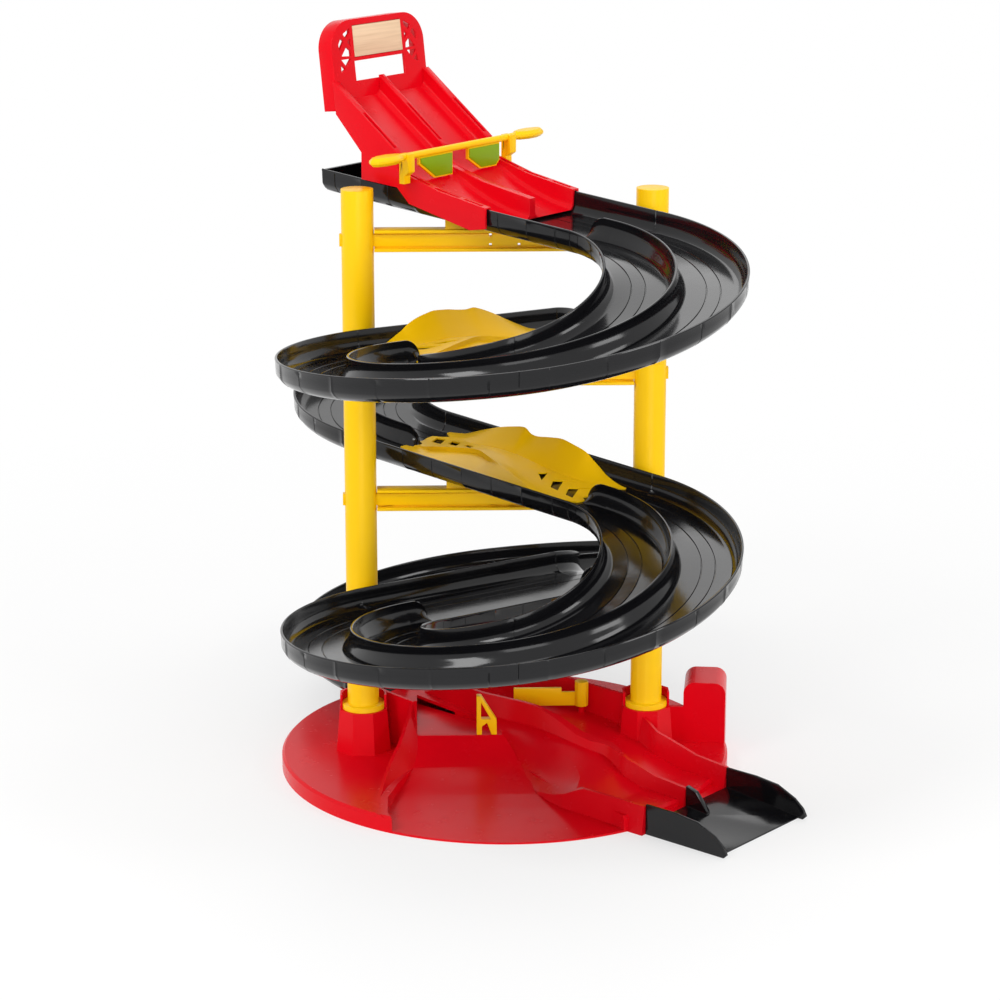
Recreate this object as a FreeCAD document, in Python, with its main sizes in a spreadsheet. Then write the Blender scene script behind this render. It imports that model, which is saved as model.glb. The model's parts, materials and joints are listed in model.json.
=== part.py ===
import FreeCAD, Part

import math
import os
import re

import Sketcher

# Toy race tower: two lanes wind down a figure-eight helix round two posts, from a launch ramp with a
# release bar to a moulded base with an exit chute. +Z is up, the base stands on z = 0 and the origin is
# the centre of the base disc. The posts stand on the X axis and the two lobes lie along Y.
# The crossing tracks run along two diagonals: a piece on the falling diagonal has its local X downhill
# and its local Y across the lanes, to the rear right.

Vec = FreeCAD.Vector

SIZES = {
    # figure-eight path
    "crossing_angle": 42.0,
    "lobe_radius": 116.0,
    "top_crossing_height": 453.0,
    "bottom_crossing_height": 47.9,
    "straight_slope": 0.07,
    "front_right_share": 0.2983,
    "front_left_share": 0.2176,
    "rear_right_share": 0.3549,
    "front_middle_slope": 0.16,
    "rear_middle_slope": 0.15,
    "start_tail": 140.5,
    # track section
    "track_half_width": 52.0,
    "track_wall": 2.0,
    "track_depth": 22.5,
    "lane_depth": 16.5,
    "track_floor": 2.0,
    "divider_half_top": 1.1,
    "divider_half_foot": 5.5,
    "divider_nose": 42.0,
    # posts
    "post_spacing": 222.0,
    "post_radius": 12.25,
    "post_wall": 2.0,
    "post_rise": 4.0,
    "post_seam_drop": 26.0,
    "post_foot": 14.3,
    "collar_radius": 16.5,
    "collar_top": 50.0,
    "spigot_length": 16.0,
    # cross beams, heights below the crossing track's wall top
    "beam_top": 26.5,
    "beam_bottom": 43.0,
    "flange_half_width": 7.0,
    "flange_thickness": 2.2,
    "web_half": 1.5,
    "rib_half": 2.6,
    "rib_width": 2.0,
    "tongue_half_width": 3.0,
    "tongue_half_height": 4.5,
    "tongue_nub": 1.5,
    "web_hole": 2.0,
    "saddle_half_length": 45.0,
    "saddle_thickness": 4.0,
    # base
    "base_radius": 175.3,
    "deck_height": 12.6,
    "base_shell": 2.6,
    "rim_round": 2.0,
    "exit_wall_middle": 38.0,
    "exit_wall_end": 23.7,
    "exit_reach": 4.7,
    "exit_half_width": 50.0,
    "hill_wall": 2.5,
    "shoulder_inner": 74.0,
    "shoulder_height": 50.0,
    "socket_radius": 20.0,
    "socket_front": 46.0,
    "socket_back": 57.0,
    "block_length": 33.0,
    "block_width": 40.0,
    "block_height": 62.0,
    "block_round": 9.0,
    "block_turn": -7.0,
    "block_x": 141.0,
    "block_y": 4.0,
    "link_height": 42.0,
    "link_thickness": 4.0,
    "foot_radius": 14.0,
    "platform_height": 30.0,
    "table_unit": 1.0,
    # launch ramp, along the falling diagonal, heights over the uppermost crossing
    "ramp_upper_end": -122.0,
    "ramp_step": -59.0,
    "ramp_lower_end": 27.0,
    "ramp_upper_wall": 76.0,
    "ramp_step_wall": 30.5,
    "ramp_lower_wall": 18.0,
    "ramp_back": -96.0,
    "ramp_back_wall": 27.5,
    "ramp_lane_depth": 13.0,
    "ramp_floor": 2.2,
    "ramp_half_width": 54.5,
    "ramp_lane_half": 47.5,
    "ramp_divider_half": 3.2,
    "ramp_cove": 6.0,
    "slot_inner": 49.6,
    "slot_outer": 52.6,
    # sign frame and its board, heights below the frame's top
    "sign_half_width": 52.0,
    "sign_thickness": 14.0,
    "sign_bottom": 55.6,
    "sign_top": 122.6,
    "sign_lean": 7.0,
    "sign_plate": 2.4,
    "sign_corner": 22.0,
    "handle_half_width": 28.0,
    "handle_top_drop": 31.5,
    "handle_height": 15.0,
    "board_length": 54.0,
    "board_height": 23.5,
    "board_drop": 16.7,
    "board_thickness": 3.0,
    # release bar
    "bar_place": -46.0,
    "bar_height": 30.5,
    "bar_radius": 2.6,
    "paddle_place": 81.0,
    "paddle_half_length": 17.0,
    "paddle_half_depth": 8.0,
    "paddle_half_height": 3.2,
    "flap_thickness": 2.6,
    "flap_bottom": 10.7,
    "flap_outer": 46.0,
    "flap_inner": 8.5,
    "face_inset": 1.1,
    "face_thickness": 0.8,
    "clip_inner": 55.0,
    "clip_outer": 62.0,
    "clip_half_depth": 4.6,
    "clip_foot": 10.0,
    # exit chute
    "chute_length": 75.0,
    "chute_wall_top": 24.0,
    "chute_floor_start": 8.0,
    "chute_wall": 2.0,
    "chute_fin": 20.0,
    # diverter arm and its stop
    "diverter_x": 62.0,
    "diverter_y": 30.0,
    "diverter_reach": 54.0,
    "diverter_bottom": 35.0,
    "diverter_top": 49.5,
    "diverter_thickness": 3.0,
    "knob_radius": 5.5,
    "knob_top": 55.0,
    "peg_radius": 2.5,
    "bracket_x": -16.0,
    "bracket_y": -21.0,
    "bracket_top": 62.0,
    # clearances
    "running_gap": 0.06,
    "fit_gap": 0.15,
    "seat_gap": 0.3,
}

doc = FreeCAD.newDocument("RaceTower")
sheet = doc.addObject("Spreadsheet::Sheet", "Sizes")
for row, (name, value) in enumerate(SIZES.items(), start=1):
    sheet.set("A%d" % row, name)
    sheet.set("B%d" % row, str(value))
    sheet.setAlias("B%d" % row, name)
doc.recompute()

parts = []


def size(name):
    """A driving dimension, read from the sheet."""
    return float(sheet.get(name))


def bound(text):
    """An expression on the sheet, from one written with the bare names of its cells."""
    def cell(word):
        return "Sizes." + word.group() if word.group() in SIZES else word.group()
    return re.sub(r"[a-z][a-z_]+", cell, text)


# Shared helpers for sketched bodies

def new_body(label):
    body = doc.addObject("PartDesign::Body", label)
    body.Label = label
    parts.append(body)
    return body


def place_on_diagonal(body, along="0", height="0"):
    """Turns a body so that its X axis runs down the falling diagonal, some way along it."""
    body.Placement = FreeCAD.Placement(Vec(), FreeCAD.Rotation(Vec(0, 0, -1), size("crossing_angle")))
    body.setExpression("Placement.Rotation.Angle", bound("crossing_angle"))
    body.setExpression("Placement.Base.x", bound("(%s) * cos(crossing_angle)" % along))
    body.setExpression("Placement.Base.y", bound("-(%s) * sin(crossing_angle)" % along))
    body.setExpression("Placement.Base.z", bound(height))


def new_sketch(body, role, lift="0"):
    """A sketch on one of the body's own planes, moved along the plane's normal."""
    sketch = body.newObject("Sketcher::SketchObject", "Sketch")
    plane = next(item for item in body.Origin.OriginFeatures if item.Role == role)
    sketch.AttachmentSupport = [(plane, "")]
    sketch.MapMode = "FlatFace"
    sketch.setExpression("AttachmentOffset.Base.z", bound(lift))
    return sketch


def pin_point(sketch, element, position, x, y):
    """Binds a point of a sketch to its two coordinates."""
    for axis, text in (("DistanceX", x), ("DistanceY", y)):
        value = getattr(sketch.getPoint(element, position), axis[-1].lower())
        index = sketch.addConstraint(Sketcher.Constraint(axis, -1, 1, element, position, value))
        sketch.setExpression("Constraints[%d]" % index, bound(text))


def add_loop(sketch, corners):
    """A closed outline of straight edges, every corner bound to the sheet."""
    first = sketch.GeometryCount
    count = len(corners)
    start = [Vec(10 * math.cos(2 * math.pi * i / count), 10 * math.sin(2 * math.pi * i / count), 0)
             for i in range(count)]
    for i in range(count):
        sketch.addGeometry(Part.LineSegment(start[i], start[(i + 1) % count]))
    for i in range(count):
        after = first + (i + 1) % count
        sketch.addConstraint(Sketcher.Constraint("Coincident", first + i, 2, after, 1))
    for i, (x, y) in enumerate(corners):
        pin_point(sketch, first + i, 1, x, y)


def add_circle(sketch, x, y, radius):
    index = sketch.addGeometry(Part.Circle(Vec(1, 1, 0), Vec(0, 0, 1), 1))
    pin_point(sketch, index, 3, x, y)
    constraint = sketch.addConstraint(Sketcher.Constraint("Radius", index, 1))
    sketch.setExpression("Constraints[%d]" % constraint, bound(radius))


def sweep_sketch(body, kind, sketch, length, both_ways=True):
    """A pad or pocket of a sketch, by default half to each side of its plane."""
    feature = body.newObject("PartDesign::" + kind, kind)
    feature.Profile = sketch
    feature.Midplane = both_ways
    feature.setExpression("Length", bound(length))
    return feature


def pad_outline(body, role, corners, length, lift="0", both_ways=True):
    sketch = new_sketch(body, role, lift)
    add_loop(sketch, corners)
    return sweep_sketch(body, "Pad", sketch, length, both_ways)


def cut_outline(body, role, corners, length, lift="0"):
    sketch = new_sketch(body, role, lift)
    add_loop(sketch, corners)
    return sweep_sketch(body, "Pocket", sketch, length)


def box_corners(left, bottom, right, top):
    return [(left, bottom), (right, bottom), (right, top), (left, top)]


OVAL_CORNERS = 10


def oval(x, y, half_wide, half_long):
    """Corners of a many-sided round or oval outline."""
    turns = [2 * math.pi * step / OVAL_CORNERS for step in range(OVAL_CORNERS)]
    return [("%s + %.4f * %s" % (x, math.sin(turn), half_wide),
             "%s + %.4f * %s" % (y, math.cos(turn), half_long)) for turn in turns]


def soften(body, kind, amount, chosen):
    """Fillets or chamfers the edges of the body's tip that a test picks."""
    doc.recompute()
    base = body.Tip
    names = ["Edge%d" % number for number, edge in enumerate(base.Shape.Edges, start=1) if chosen(edge)]
    feature = body.newObject("PartDesign::" + kind, kind)
    feature.Base = (base, names)
    feature.setExpression("Radius" if kind == "Fillet" else "Size", bound(amount))
    return feature


def runs_along(edge, axis):
    """True for a straight edge along an axis of the body."""
    if len(edge.Vertexes) != 2 or not isinstance(edge.Curve, Part.Line):
        return False
    run = edge.Vertexes[1].Point - edge.Vertexes[0].Point
    return abs(abs(run.normalize().dot(axis)) - 1) < 1e-6


# Heights of the five crossings, the uppermost first, as expressions and as numbers

STRAIGHT_DROP = "(straight_slope * 2 * lobe_radius * tan(crossing_angle))"
LOBES_DROP = "((top_crossing_height - bottom_crossing_height) / 2 - 2 * %s)" % STRAIGHT_DROP
FRONT_DROP = "((front_right_share + front_left_share) * %s + %s)" % (LOBES_DROP, STRAIGHT_DROP)
REAR_DROP = "((1 - front_right_share - front_left_share) * %s + %s)" % (LOBES_DROP, STRAIGHT_DROP)
CROSSING_TEXT = ["(top_crossing_height - %d * %s - %d * %s)" % ((n + 1) // 2, FRONT_DROP, n // 2, REAR_DROP)
                 for n in range(5)]
POST_TOP = "(top_crossing_height + post_rise)"
POST_SEAM = "(%s - post_seam_drop)" % CROSSING_TEXT[1]


def tangent_length():
    """Distance from the axis to where a straight meets a lobe."""
    return size("lobe_radius") * math.tan(math.radians(size("crossing_angle")))


def half_lobe_drops(front):
    """Drops over the right and the left half of a lobe."""
    straight = 2 * size("straight_slope") * tangent_length()
    total = (size("top_crossing_height") - size("bottom_crossing_height")) / 2 - 2 * straight
    right, left = size("front_right_share"), size("front_left_share")
    if not front:
        right, left = size("rear_right_share"), 1 - right - left - size("rear_right_share")
    return right * total, left * total


def crossing_height(number):
    """Height of the wall tops where straight number 0 to 4 passes the axis."""
    straight = 2 * size("straight_slope") * tangent_length()
    front = sum(half_lobe_drops(True)) + straight
    rear = sum(half_lobe_drops(False)) + straight
    return size("top_crossing_height") - (number + 1) // 2 * front - number // 2 * rear


# Faceted solids between section outlines

def ring_face(points):
    return Part.Face(Part.makePolygon(points + points[:1]))


def quad_faces(a, b, c, d):
    """One flat face where the four corners are in a plane, and otherwise two triangles."""
    normal = (b - a).cross(c - a)
    if normal.Length > 1e-9 and abs((d - a).dot(normal.normalize())) < 1e-6:
        return [ring_face([a, b, c, d])]
    return [ring_face([a, b, c]), ring_face([a, c, d])]


def faceted_solid(rings):
    """Closed solid through rings of as many points each, in the order of travel."""
    faces = [ring_face(rings[0][::-1]), ring_face(rings[-1])]
    count = len(rings[0])
    for near, far in zip(rings, rings[1:]):
        for i in range(count):
            after = (i + 1) % count
            faces += quad_faces(near[i], near[after], far[after], far[i])
    shell = Part.makeShell(faces)
    shell.sewShape()
    solid = Part.makeSolid(shell)
    if solid.Volume < 0:
        solid.reverse()
    return solid


# Track: section, stations and pieces

def between(points, at):
    """Straight-line value between listed (place, value) pairs, level beyond their ends."""
    if at <= points[0][0]:
        return points[0][1]
    for (start, low), (end, high) in zip(points, points[1:]):
        if at <= end:
            return low + (high - low) * (at - start) / (end - start)
    return points[-1][1]


def smooth_step(value):
    value = min(max(value, 0.0), 1.0)
    return value * value * (3 - 2 * value)


def track_section(rise):
    """Outline across the lanes as (left, below the wall top), with the divider raised by a share."""
    half, wall = size("track_half_width"), size("track_wall")
    depth, lane = size("track_depth"), size("lane_depth")
    under = lane + size("track_floor")
    lip = half * 0.78
    right_outside = [(-half, 0), (-half + 0.8, 0.53 * depth), (-half + 4, 0.84 * depth), (-lip - 1, depth),
                     (-lip + 1, under)]
    inside = [(half - wall, 0), (half - wall - 0.7, 0.66 * lane), (half - wall - 3.5, 0.92 * lane),
              (half - wall - 8, lane)]
    outline = right_outside + [(-y, z) for y, z in right_outside[::-1]] + inside
    if rise is not None:
        foot, top = size("divider_half_foot"), size("divider_half_top")
        high = lane * max(rise, 0.04)
        ridge = [(foot, lane), (top, lane - high)]
        outline += ridge + [(-y, z) for y, z in ridge[::-1]]
    return outline + [(-y, z) for y, z in inside[::-1]]


def place_section(outline, point, left):
    return [point + left * y - Vec(0, 0, z) for y, z in outline]


def straight_station(rising, number, along):
    """Wall-top centre and left-hand direction on a straight, some way past the axis."""
    angle = math.radians(size("crossing_angle"))
    turn = 1 if rising else -1
    point = Vec(along * math.cos(angle), turn * along * math.sin(angle),
                crossing_height(number) - size("straight_slope") * along)
    return point, Vec(-turn * math.sin(angle), math.cos(angle), 0)


def straight_solid(number, start, end):
    rising = number % 2 == 1
    rings = [place_section(track_section(None), *straight_station(rising, number, along))
             for along in (start, end)]
    return faceted_solid(rings)


def half_lobe_station(number, second, share):
    """The same on the half lobe after straight number, from its start (0) to its end (1)."""
    front = number % 2 == 0
    drops = half_lobe_drops(front)
    straight, middle = size("straight_slope"), size("front_middle_slope" if front else "rear_middle_slope")
    begin = crossing_height(number) - straight * tangent_length() - (drops[0] if second else 0)
    drop = drops[1] if second else drops[0]
    first_slope, last_slope = (middle, straight) if second else (straight, middle)
    sweep = math.radians(180 - size("crossing_angle"))
    length = size("lobe_radius") * sweep
    t = share
    height = (begin * (2 * t ** 3 - 3 * t ** 2 + 1) - first_slope * length * (t ** 3 - 2 * t ** 2 + t)
              + (begin - drop) * (3 * t ** 2 - 2 * t ** 3) - last_slope * length * (t ** 3 - t ** 2))
    turned = sweep * (share - 1) + (sweep if second else 0)
    angle = -math.pi / 2 - turned if front else math.pi / 2 + turned
    centre = size("lobe_radius") / math.cos(math.radians(size("crossing_angle")))
    outward = Vec(math.cos(angle), math.sin(angle), 0)
    point = Vec(0, -centre if front else centre, height) + outward * size("lobe_radius")
    return point, outward if front else -outward


CURVE_STEPS = 12


def curve_solid(number, second):
    """One half lobe, with its lane divider sloping to a nose at the end beside the straight."""
    sweep = math.radians(180 - size("crossing_angle"))
    nose = size("divider_nose") / (size("lobe_radius") * sweep)
    rings = []
    for step in range(CURVE_STEPS + 1):
        share = step / CURVE_STEPS
        from_straight = 1 - share if second else share
        rise = smooth_step(from_straight / nose)
        rings.append(place_section(track_section(rise), *half_lobe_station(number, second, share)))
    return faceted_solid(rings)


def start_track_solid():
    """The uppermost straight, closed by a wall at its upper end."""
    tail, wall = size("start_tail"), size("track_wall")
    channel = straight_solid(0, -tail, tangent_length())
    outline = track_section(None)
    filled = outline[:4] + outline[6:10]
    end_wall = faceted_solid([place_section(filled, *straight_station(False, 0, along))
                              for along in (-tail, -tail + wall)])
    return channel.fuse(end_wall).removeSplitter()


def add_shape(label, shape):
    feature = doc.addObject("Part::Feature", label)
    feature.Label = label
    feature.Shape = shape
    parts.append(feature)
    return feature


add_shape("start_track", start_track_solid())
for number, label in ((1, "upper_cross_track"), (2, "middle_cross_track"), (3, "lower_cross_track")):
    add_shape(label, straight_solid(number, -tangent_length(), tangent_length()))
for level, first in (("upper", 0), ("lower", 2)):
    add_shape("front_right_curve_" + level, curve_solid(first, False))
    add_shape("front_left_curve_" + level, curve_solid(first, True))
    add_shape("rear_right_curve_" + level, curve_solid(first + 1, False))
    add_shape("rear_left_curve_" + level, curve_solid(first + 1, True))


# Lane changers: moulded bridges that lead each lane over to the other side

CHANGER_SKIN = 1.8
# Place along the track, near edge's place and height, valley, hollow by the wing, wing, ramp's reach
CHANGER = (
    (-103, -5, 1.3, 1.2, 1.2, 1.2, 0),
    (-86, -4, 3.0, 1.8, 1.6, 3.0, 0),
    (-66, -3, 7.0, 4.6, 4.0, 9.5, 0),
    (-45, -1, 11.0, 7.4, 6.0, 16.8, 0),
    (-27, 0, 13.2, 8.6, 7.0, 21.6, 0),
    (-14, -4, 12.6, 8.0, 6.0, 18.6, 0.3),
    (4, -11, 11.4, 5.5, 4.0, 20.6, 1),
    (18, -16, 10.4, 2.4, 2.0, 21.8, 1),
    (41, -25, 8.2, 1.4, 1.4, 16.9, 1),
    (62, -34, 4.5, 1.2, 1.2, 5.0, 1),
    (80, -40, 1.2, 1.2, 1.2, 1.2, 1),
)


# Distance kept from the wall, against the height over the lane floor
COVE_HOLD = ((0, 8.0), (1.3, 4.5), (6.0, 1.1), (30, 1.1))


def cove_reach(height):
    """Furthest place across the track for a point at a height over the lane floor."""
    return size("track_half_width") - size("track_wall") - between(COVE_HOLD, max(height, 0))


def changer_section(row, lowered):
    """Outline as (across, height over the lane floor); lowered gives the space underneath."""
    place, edge, edge_high, valley, hollow, wing, ramp = row
    skin = CHANGER_SKIN if lowered else 0.0
    foot = cove_reach(0) - 0.3
    near = edge - 1.5 + (1.5 - edge - foot) * ramp
    near_high = 0.7 + (0.92 * edge_high - 0.7) * (1 - ramp)
    far = cove_reach(wing - 1.0)
    top = [(near, near_high), (edge, edge_high), (edge + 10, 0.6 * edge_high + 0.4 * valley), (20, valley),
           (31, hollow), (40, hollow + 0.45 * (wing - hollow)), (far - 1.5, wing), (far, wing)]
    top = [(across, height - skin) for across, height in top]
    if lowered:
        top[0] = (near + skin, top[0][1])
        top[1] = (max(edge, near + skin + 0.3), top[1][1])
        top[-1] = (far + 2, top[-1][1])
    bottom, right = (-4.0, far + 2) if lowered else (0.1, min(far, foot))
    return [(top[0][0], bottom)] + top + [(right, bottom)]


def changer_solid(number):
    rising = number % 2 == 1
    lane = size("lane_depth")
    solids = []
    for lowered in (False, True):
        rings = []
        for row in CHANGER:
            point, left = straight_station(rising, number, row[0])
            outline = [(y, lane - z) for y, z in changer_section(row, lowered)]
            rings.append(place_section(outline, point, left))
        solids.append(faceted_solid([ring[::-1] for ring in rings]))
    return solids[0].cut(solids[1]).removeSplitter()


add_shape("lane_changer_upper", changer_solid(1))
add_shape("lane_changer_lower", changer_solid(2))


# Posts: moulded tubes in two sections, the upper plugged over the lower's spigot

def slot_rectangle(sketch, number):
    """Slot for a beam's tongue, across the tube."""
    middle = "%s - (beam_top + beam_bottom) / 2" % CROSSING_TEXT[number]
    half_high = "(tongue_half_height + fit_gap)"
    half_wide = "(tongue_half_width + fit_gap)"
    add_loop(sketch, box_corners("-" + half_wide, middle + " - " + half_high,
                                 half_wide, middle + " + " + half_high))


def post_section(label, side, outline, beams):
    body = new_body(label)
    body.setExpression("Placement.Base.x", bound("%d * post_spacing / 2" % side))
    sketch = new_sketch(body, "XZ_Plane")
    add_loop(sketch, outline)
    turned = body.newObject("PartDesign::Revolution", "Revolution")
    turned.Profile = sketch
    turned.ReferenceAxis = (sketch, ["V_Axis"])
    turned.Angle = 360
    slots = new_sketch(body, "YZ_Plane")
    for number in beams:
        slot_rectangle(slots, number)
    sweep_sketch(body, "Pocket", slots, "4 * post_radius")


LOWER_POST = [("post_radius - 2 * post_wall", "post_foot"), ("collar_radius", "post_foot"),
              ("collar_radius", "collar_top"), ("post_radius", "collar_top"),
              ("post_radius", POST_SEAM), ("post_radius - post_wall - fit_gap", POST_SEAM),
              ("post_radius - post_wall - fit_gap", POST_SEAM + " + spigot_length"),
              ("post_radius - 2 * post_wall", POST_SEAM + " + spigot_length")]
UPPER_POST = [("post_radius - post_wall", POST_SEAM), ("post_radius", POST_SEAM), ("post_radius", POST_TOP),
              ("0", POST_TOP), ("0", POST_TOP + " - post_wall"),
              ("post_radius - post_wall", POST_TOP + " - post_wall")]
for side, name in ((-1, "left"), (1, "right")):
    post_section(name + "_post_lower", side, LOWER_POST, (1, 2, 3))
    post_section(name + "_post_upper", side, UPPER_POST, (0,))


# Cross beams: flanged latticed beams whose tongues pass through both posts

LATTICE_CELLS = 2
# Left edges of the square openings in the top beam's closed web
WEB_HOLES = (-12.0, 9.6)


def cross_beam(label, number):
    body = new_body(label)
    body.setExpression("Placement.Base.z", bound(CROSSING_TEXT[number]))
    span = "(post_spacing / 2 - post_radius - seat_gap)"
    low, high, thick = "-beam_bottom", "-beam_top", "flange_thickness"
    wide, web = "flange_half_width", "web_half"
    half = [(wide, low), (wide, low + " + " + thick), (web, low + " + " + thick),
            (web, high + " - " + thick), (wide, high + " - " + thick), (wide, high)]
    profile = half + [("-" + y, z) for y, z in half[::-1]]
    pad_outline(body, "YZ_Plane", profile, "2 * " + span)
    middle = "-(beam_top + beam_bottom) / 2"
    tongue = box_corners("-tongue_half_width", middle + " - tongue_half_height",
                         "tongue_half_width", middle + " + tongue_half_height")
    pad_outline(body, "YZ_Plane", tongue, "post_spacing + 2 * post_radius + 2 * tongue_nub")
    bottom, top = low + " + " + thick, high + " - " + thick
    if number == 0:
        for place in WEB_HOLES:
            for level in ("-(beam_bottom + beam_top) / 2 - 4.6", "-(beam_bottom + beam_top) / 2 + 2.6"):
                left = "%s * table_unit" % place
                hole = box_corners(left, level, left + " + web_hole", level + " + web_hole")
                cut_outline(body, "XZ_Plane", hole, "4 * flange_half_width")
    for start, end in ((bottom, top), (top, bottom))[:2 * (number > 0)]:
        sketch = new_sketch(body, "XZ_Plane")
        for cell in range(LATTICE_CELLS):
            left = "%s * %s" % (2 * cell / LATTICE_CELLS - 1, span)
            right = "%s * %s" % (2 * (cell + 1) / LATTICE_CELLS - 1, span)
            add_loop(sketch, [(left + " + 1", start), (left + " + 1 + rib_width", start),
                              (right + " - 1", end), (right + " - 1 - rib_width", end)])
        sweep_sketch(body, "Pad", sketch, "2 * rib_half")
    seat = "-(lane_depth + track_floor + seat_gap)"
    fall = "straight_slope * cos(crossing_angle) * saddle_half_length"
    saddle = [("-saddle_half_length", "-beam_top - 1"), ("saddle_half_length", "-beam_top - 1"),
              ("saddle_half_length", "%s - %s" % (seat, fall)),
              ("-saddle_half_length", "%s + %s" % (seat, fall))]
    pad_outline(body, "XZ_Plane", saddle, "saddle_thickness")


for number, level in enumerate(("top", "upper", "middle", "lower")):
    cross_beam(level + "_cross_beam", number)


# Sign frame with its handle opening, and the plain board set into it

HANDLE_TOP = "(sign_top - handle_top_drop)"
HANDLE_BOTTOM = "(sign_top - handle_top_drop - handle_height)"
BOARD_CENTRE = "(sign_top - board_drop)"


# Windows of the lattice beside the board, as (across, below the frame's top)
LATTICE_WINDOWS = (
    ((30.3, 6.3), (38.0, 10.1), (35.6, 13.6), (30.5, 9.6)),
    ((30.4, 14.0), (33.6, 16.7), (30.6, 20.2)),
    ((37.8, 15.4), (41.0, 13.2), (43.9, 17.6), (43.2, 22.3)),
    ((35.4, 19.8), (41.5, 26.6), (30.7, 27.4), (31.2, 23.4)),
    ((31.7, 29.3), (42.2, 29.3), (37.2, 35.0)),
    ((38.6, 36.6), (43.0, 32.6), (43.4, 38.6)),
)


def lean_back(body, place):
    """Leans a body on the falling diagonal back over the foot of the sign, its front at a place."""
    along = "(%s + sign_bottom * sin(sign_lean))" % place
    where = "vector(%s * cos(crossing_angle); -%s * sin(crossing_angle); top_crossing_height + %s)" % (
        along, along, "sign_bottom * (1 - cos(sign_lean))")
    turn = "rotation(vector(0; 0; -1); crossing_angle) * rotation(vector(0; -1; 0); sign_lean)"
    body.setExpression("Placement", bound("placement(%s; %s)" % (where, turn)))


def sign_frame():
    body = new_body("sign_frame")
    lean_back(body, "ramp_upper_end")
    back = "-sign_thickness / 2"
    plate = box_corners("-sign_half_width", "sign_bottom", "sign_half_width", "sign_top")
    pad_outline(body, "YZ_Plane", plate, "sign_thickness", back)
    middle = 0.5 * (size("sign_bottom") + size("sign_top"))
    soften(body, "Fillet", "sign_corner",
           lambda edge: runs_along(edge, Vec(1, 0, 0)) and edge.CenterOfMass.z > middle)
    cut_outline(body, "YZ_Plane", box_corners("-handle_half_width", HANDLE_BOTTOM,
                                              "handle_half_width", HANDLE_TOP),
                "3 * sign_thickness", back)
    recess = "board_thickness + seat_gap"
    half_long, half_high = "(board_length / 2 + seat_gap)", "(board_height / 2 + seat_gap)"
    cut_outline(body, "YZ_Plane",
                box_corners("-" + half_long, BOARD_CENTRE + " - " + half_high,
                            half_long, BOARD_CENTRE + " + " + half_high),
                "2 * (%s)" % recess)
    rim, top, low = "(sign_half_width - sign_plate)", "(sign_top - sign_plate)", "(sign_bottom + sign_plate)"
    shoulder = "(sign_top - sign_corner)"
    rim_line = [(rim, low), (rim, shoulder),
                ("(sign_half_width - 0.35 * sign_corner)", "(sign_top - 0.35 * sign_corner)"),
                ("(sign_half_width - sign_corner)", top)]
    behind_board = rim_line + [("-" + y, z) for y, z in rim_line[::-1]]
    cut_outline(body, "YZ_Plane", behind_board, "2 * (sign_thickness - %s - sign_plate)" % recess,
                "-sign_thickness")
    board_low = "(%s - %s - sign_plate)" % (BOARD_CENTRE, half_high)
    inner = "(%s + 0.5 * sign_plate)" % half_long
    sides = [(inner, top), (inner, board_low), ("-" + inner, board_low), ("-" + inner, top)]
    left_rim = [("-" + y, z) for y, z in rim_line[::-1]]
    cut_outline(body, "YZ_Plane", rim_line + sides + left_rim, "2 * (sign_thickness - sign_plate)",
                "-sign_thickness")
    for side in ("-", ""):
        for window in LATTICE_WINDOWS:
            corners = [("%s(%s * table_unit)" % (side, y), "sign_top - %s * table_unit" % z)
                       for y, z in window]
            cut_outline(body, "YZ_Plane", corners, "3 * sign_thickness", back)


def sign_board():
    body = new_body("sign_board")
    lean_back(body, "ramp_upper_end")
    pad_outline(body, "YZ_Plane",
                box_corners("-board_length / 2", BOARD_CENTRE + " - board_height / 2",
                            "board_length / 2", BOARD_CENTRE + " + board_height / 2"),
                "board_thickness", "-board_thickness / 2")


sign_frame()
sign_board()


# Launch ramp: steep double chute that eases into the uppermost track and straddles its walls

def side_prism(outline, low, high):
    """Solid over a side view given as a face in X and Z, from one lateral place to another."""
    return outline.translated(Vec(0, low, 0)).extrude(Vec(0, high - low, 0))


def side_points(corners):
    return ring_face([Vec(x, 0, z) for x, z in corners])


# Lower edge of the ramp's sides from the track to the back, as (along, height over the crossing)
RAMP_FOOT = ((12.0, -18.6), (-48.0, -6.0), (-60.0, 5.0))
RAMP_LIP = (-19.0, 7.0)
RAMP_FADE = -0.4


def ramp_floor_edges():
    """Floor line of the ramp: straight and steep, then an arc down to the track floor."""
    upper, step, lower = size("ramp_upper_end"), size("ramp_step"), size("ramp_lower_end")
    steep = (size("ramp_upper_wall") - size("ramp_step_wall")) / (step - upper)
    start = Vec(upper - 5, 0, size("ramp_upper_wall") - size("ramp_lane_depth") + 5 * steep)
    bend = Vec(step, 0, size("ramp_step_wall") - size("ramp_lane_depth"))
    end = Vec(lower, 0, size("ramp_floor") - size("straight_slope") * lower - size("lane_depth"))
    upward = Vec(steep, 0, 1).normalize()
    reach = end - bend
    radius = reach.Length ** 2 / (2 * reach.dot(upward))
    centre = bend + upward * radius
    middle = centre + ((bend - centre) + (end - centre)).normalize() * radius
    return start, bend, middle, end


RAMP_LANE_STEPS = 6
COVE_TURNS = (0, 30, 60, 90)


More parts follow.
